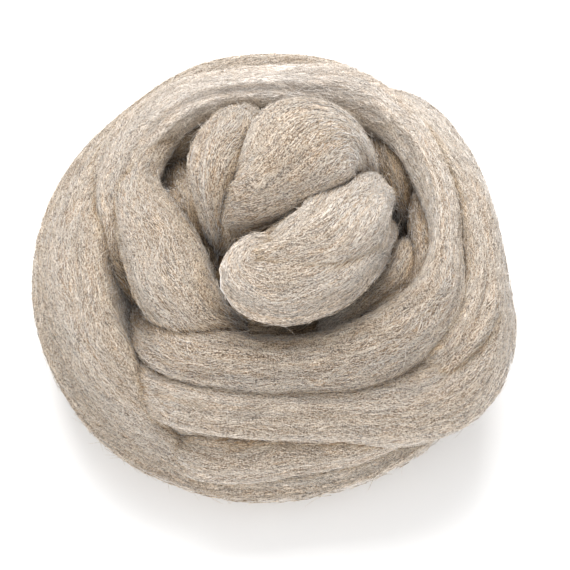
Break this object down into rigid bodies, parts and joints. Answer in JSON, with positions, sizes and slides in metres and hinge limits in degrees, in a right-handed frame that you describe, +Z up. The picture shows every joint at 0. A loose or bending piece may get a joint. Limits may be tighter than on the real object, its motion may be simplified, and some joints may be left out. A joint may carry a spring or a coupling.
{
  "type": "wound nest of combed wool roving",
  "caption": "Round nest wound from one long soft length of combed wool, with rising turns and a crown of short folds.",
  "frame": {"origin": "on the table, under the middle of the nest", "axes": "+Z up, +X to the right and +Y to the back as the nest is seen from the front, where the lowest turns cross"},
  "size_m": [0.1571, 0.1541, 0.0819],
  "materials": {
    "heather_wool": "undyed heather wool, cream, oat and grey fibres combed side by side, matt and slightly fuzzy"
  },
  "bodies": {
    "root": {"wound_roving": "heather_wool"}
  },
  "joints": []
}
